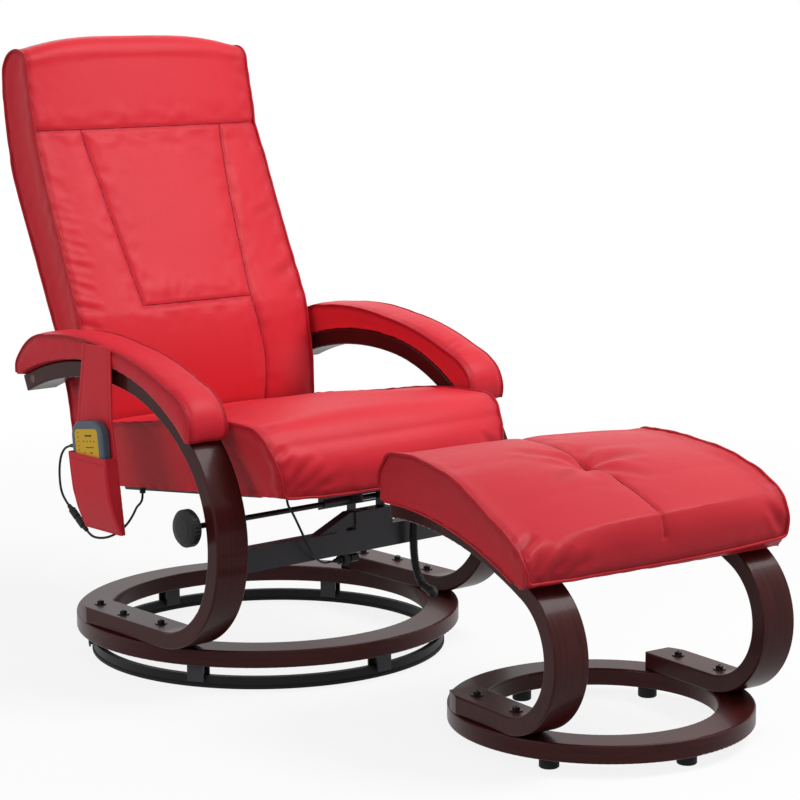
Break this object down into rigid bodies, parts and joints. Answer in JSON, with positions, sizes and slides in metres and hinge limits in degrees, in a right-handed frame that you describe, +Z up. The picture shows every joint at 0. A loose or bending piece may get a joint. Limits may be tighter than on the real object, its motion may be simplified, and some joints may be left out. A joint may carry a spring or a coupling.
{
  "type": "massage chair",
  "caption": "Reclining home massage armchair in red leathercloth on bentwood legs and a turning base ring, with a matching footstool and a corded remote control in a side pocket.",
  "frame": {"origin": "on the floor, on the axis that the chair turns about, at the middle of its round base", "axes": "+Z up; -Y the way the sitter faces, towards the footstool; +X on the sitter's left"},
  "size_m": [0.6893, 1.4262, 1.0444],
  "materials": {
    "red_leathercloth": "satin",
    "stained_bentwood": "gloss",
    "plywood": "matte",
    "black_steel": "satin",
    "black_zinc": "satin",
    "bright_zinc": "satin",
    "black_rubber": "matte",
    "black_plastic": "matte",
    "lead_sheath": "satin",
    "nylon": "satin",
    "remote_grey": "satin",
    "remote_yellow": "gloss",
    "key_grey": "satin",
    "circuit_green": "satin",
    "motor_can": "satin",
    "heater_cloth": "matte",
    "cap_brown": "satin"
  },
  "bodies": {
    "floor_base": {"floor_ring": "black_steel", "floor_ring_edging": "black_rubber"},
    "chair_frame": {"base_ring": "stained_bentwood", "track_brackets": "black_steel", "glide_pads": "nylon", "frame_screws": "black_zinc", "arm_leg_right": "stained_bentwood", "arm_leg_left": "stained_bentwood", "foot_bolts": "black_zinc", "arm_pad_right": "red_leathercloth", "arm_pad_left": "red_leathercloth", "recline_pivot_bolts": "black_zinc", "bolt_caps": "cap_brown", "cross_beam": "black_steel", "clamp_bracket": "black_steel", "clamp_sleeve": "black_steel", "remote_strap": "red_leathercloth", "remote_pocket": "red_leathercloth", "lead_clip": "black_plastic", "power_connector": "black_plastic", "remote_connector": "black_plastic"},
    "seat": {"seat_cushion": "red_leathercloth", "seat_board": "plywood", "seat_rails": "black_steel", "seat_hinge_pins": "bright_zinc", "seat_slide_channel": "black_steel", "seat_motors": "motor_can", "control_box": "black_plastic", "seat_glands": "black_plastic", "conduit": "black_plastic", "conduit_fitting": "black_plastic", "power_lead": "lead_sheath", "remote_lead_lower": "lead_sheath"},
    "backrest": {"back_cushion": "red_leathercloth", "back_rear_cover": "red_leathercloth", "back_frame": "black_steel", "pivot_bushes": "nylon", "back_board": "plywood", "back_motors": "motor_can", "heater_pad": "heater_cloth"},
    "knob": {"recline_knob": "black_plastic", "clamp_rod": "black_zinc"},
    "nut": {"clamp_nut": "bright_zinc"},
    "remote": {"remote_case_front": "remote_grey", "remote_case_back": "remote_grey", "remote_board": "circuit_green", "remote_label": "remote_yellow", "remote_strain_relief": "black_plastic", "remote_lead_upper": "lead_sheath"},
    "key_power": {"key_power": "key_grey"},
    "key_program": {"key_program": "key_grey"},
    "key_heat": {"key_heat": "key_grey"},
    "key_speed": {"key_speed": "key_grey"},
    "ottoman": {"ottoman_ring": "stained_bentwood", "ottoman_leg_right": "stained_bentwood", "ottoman_leg_left": "stained_bentwood", "ottoman_bolts": "black_zinc", "ottoman_feet": "black_rubber", "ottoman_board": "plywood", "ottoman_cushion": "red_leathercloth"}
  },
  "joints": [
    {"name": "base_swivel", "type": "hinge", "parent": "floor_base", "child": "chair_frame", "pos_m": [0, 0, 0.03], "axis": [0, 0, 1], "continuous": true},
    {"name": "backrest_recline", "type": "hinge", "parent": "chair_frame", "child": "backrest", "pos_m": [0, 0.22862, 0.46933], "axis": [-1, 0, 0], "range_deg": [0, 24]},
    {"name": "seat_slide", "type": "slide", "parent": "chair_frame", "child": "seat", "axis": [0, -0.9664, 0.2569], "range_m": [0, 0.0547], "deforming": ["power_lead", "remote_lead_lower"]},
    {"name": "knob_turn", "type": "hinge", "parent": "chair_frame", "child": "knob", "pos_m": [-0.04, -0.236, 0.287], "axis": [-1, 0, 0], "range_deg": [0, 360]},
    {"name": "nut_travel", "type": "slide", "parent": "chair_frame", "child": "nut", "axis": [1, 0, 0], "range_m": [0, 0.0015]},
    {"name": "remote_lift", "type": "slide", "parent": "chair_frame", "child": "remote", "axis": [0, 0.1219, 0.9925], "range_m": [0, 0.08], "deforming": ["remote_lead_upper"]},
    {"name": "key_power_press", "type": "slide", "parent": "remote", "child": "key_power", "axis": [1, 0, 0], "range_m": [0, 0.0006], "stiffness_N_per_m": 400, "springref_m": -0.001},
    {"name": "key_program_press", "type": "slide", "parent": "remote", "child": "key_program", "axis": [1, 0, 0], "range_m": [0, 0.0006], "stiffness_N_per_m": 400, "springref_m": -0.001},
    {"name": "key_heat_press", "type": "slide", "parent": "remote", "child": "key_heat", "axis": [1, 0, 0], "range_m": [0, 0.0006], "stiffness_N_per_m": 400, "springref_m": -0.001},
    {"name": "key_speed_press", "type": "slide", "parent": "remote", "child": "key_speed", "axis": [1, 0, 0], "range_m": [0, 0.0006], "stiffness_N_per_m": 400, "springref_m": -0.001},
    {"name": "ottoman_slide", "type": "slide", "parent": "floor_base", "child": "ottoman", "axis": [0, -1, 0], "range_m": [0, 0.4]}
  ],
  "couplings": [
    {"joint": "seat_slide", "follows": "backrest_recline", "m_per_rad": 0.13054},
    {"joint": "nut_travel", "follows": "knob_turn", "m_per_rad": 0.00023873}
  ]
}
